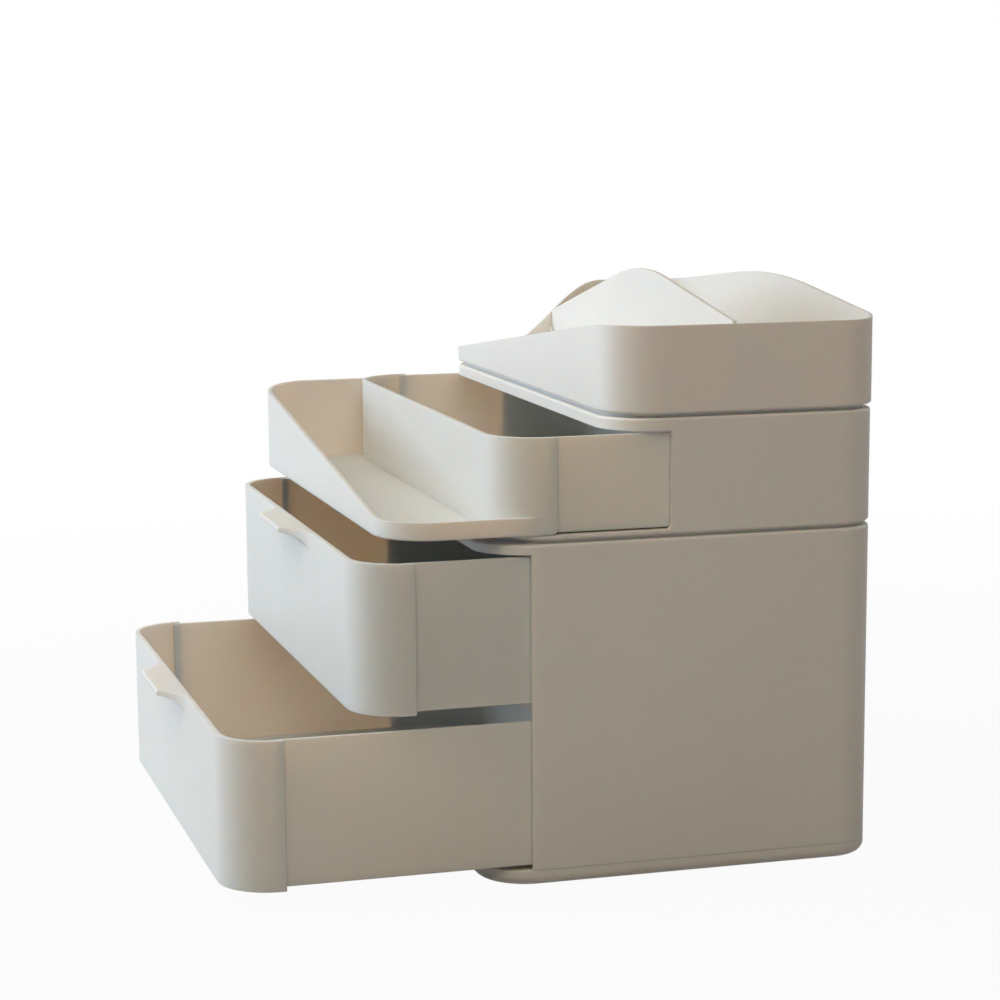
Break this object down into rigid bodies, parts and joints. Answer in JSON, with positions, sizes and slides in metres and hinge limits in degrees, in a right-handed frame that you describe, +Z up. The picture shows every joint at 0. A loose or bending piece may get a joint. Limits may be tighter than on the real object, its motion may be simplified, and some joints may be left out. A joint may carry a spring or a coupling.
{
  "type": "cosmetics organizer with drawers",
  "caption": "Desktop cosmetics organizer: two-drawer cabinet, set-back module with a stepped drawer, and an open tray with a divider on top.",
  "frame": {"origin": "middle of the cabinet's footprint, in the plane the rubber feet stand on", "axes": "+Z up, the drawers open towards -Y, +X is on the right when facing the organizer's front from in front and looking along +Y"},
  "size_m": [0.343, 0.3915, 0.3303],
  "materials": {
    "shell_plastic": "satin off-white moulded polypropylene",
    "drawer_plastic": "satin off-white moulded polypropylene",
    "foot_rubber": "matt dark rubber"
  },
  "bodies": {
    "organizer": {"base_plate": "shell_plastic", "rubber_feet": "foot_rubber", "lower_shell": "shell_plastic", "cabinet_shelf": "shell_plastic", "upper_shell": "shell_plastic", "top_tray": "shell_plastic", "tray_divider": "shell_plastic"},
    "lower_drawer": {"lower_drawer_box": "drawer_plastic", "lower_drawer_front": "drawer_plastic"},
    "middle_drawer": {"middle_drawer_box": "drawer_plastic", "middle_drawer_front": "drawer_plastic"},
    "stepped_drawer": {"stepped_drawer_box": "drawer_plastic", "stepped_drawer_front": "drawer_plastic"}
  },
  "joints": [
    {"name": "lower_slide", "type": "slide", "parent": "organizer", "child": "lower_drawer", "axis": [0, -1, 0], "range_m": [-0.1385, 0.0315]},
    {"name": "middle_slide", "type": "slide", "parent": "organizer", "child": "middle_drawer", "axis": [0, -1, 0], "range_m": [-0.065, 0.105]},
    {"name": "stepped_slide", "type": "slide", "parent": "organizer", "child": "stepped_drawer", "axis": [0, -1, 0], "range_m": [-0.065, 0.03]}
  ]
}
